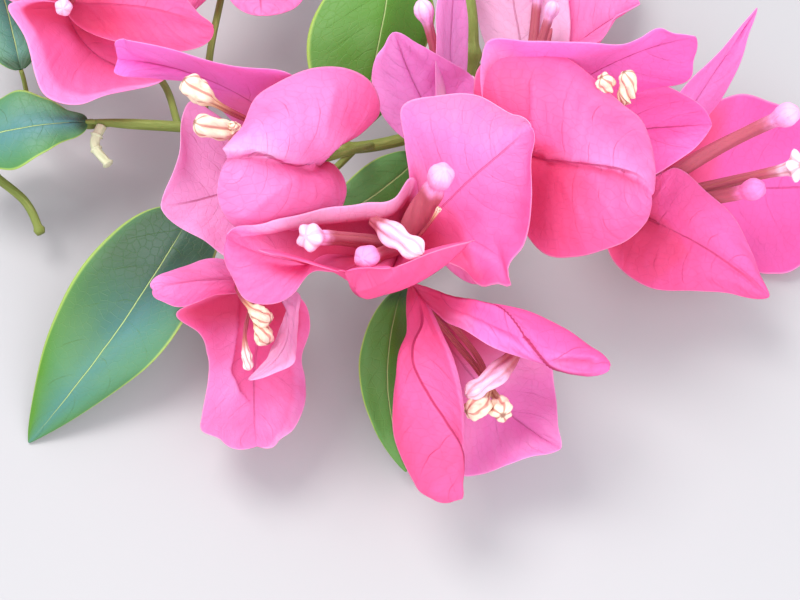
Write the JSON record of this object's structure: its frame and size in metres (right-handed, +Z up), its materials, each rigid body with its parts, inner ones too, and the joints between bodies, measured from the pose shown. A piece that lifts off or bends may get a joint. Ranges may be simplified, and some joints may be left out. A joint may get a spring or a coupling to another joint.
{
  "type": "cut flowering bougainvillea branch",
  "caption": "Cut spray of a pink bougainvillea, lying on its side: green stem and side shoot with leaves and papery three-bract blooms round small tubular flowers.",
  "frame": {"origin": "under the middle of the spray's box, at the level of the ground it lies on", "axes": "+X to the right along the spray's longest side, +Y towards the stem's cut end, +Z up"},
  "size_m": [0.1928, 0.1578, 0.0629],
  "materials": {
    "bract": "papery, thin, pink with darker veins",
    "leaf": "smooth leaf, mid green with a paler margin",
    "stem": "smooth green young bark"
  },
  "bodies": {
    "root": {"bloom_behind": "bract", "bloom_centre": "bract", "bloom_far_left": "bract", "bloom_far_right": "bract", "bloom_left": "bract", "bloom_low": "bract", "bloom_low_left": "bract", "bloom_right": "bract", "bloom_top_left": "bract", "bloom_top_right": "bract", "leaf_big_left": "leaf", "leaf_far_left": "leaf", "leaf_low": "leaf", "leaf_middle": "leaf", "leaf_top": "leaf", "leaf_top_left": "leaf", "left_shoot": "stem", "main_stem": "stem", "spent_stalk": "stem", "spent_twig": "stem", "stalk_behind": "stem", "stalk_centre": "stem", "stalk_far_left": "stem", "stalk_far_right": "stem", "stalk_left": "stem", "stalk_low": "stem", "stalk_low_left": "stem", "stalk_right": "stem", "stalk_top_left": "stem", "stalk_top_right": "stem"}
  },
  "joints": []
}
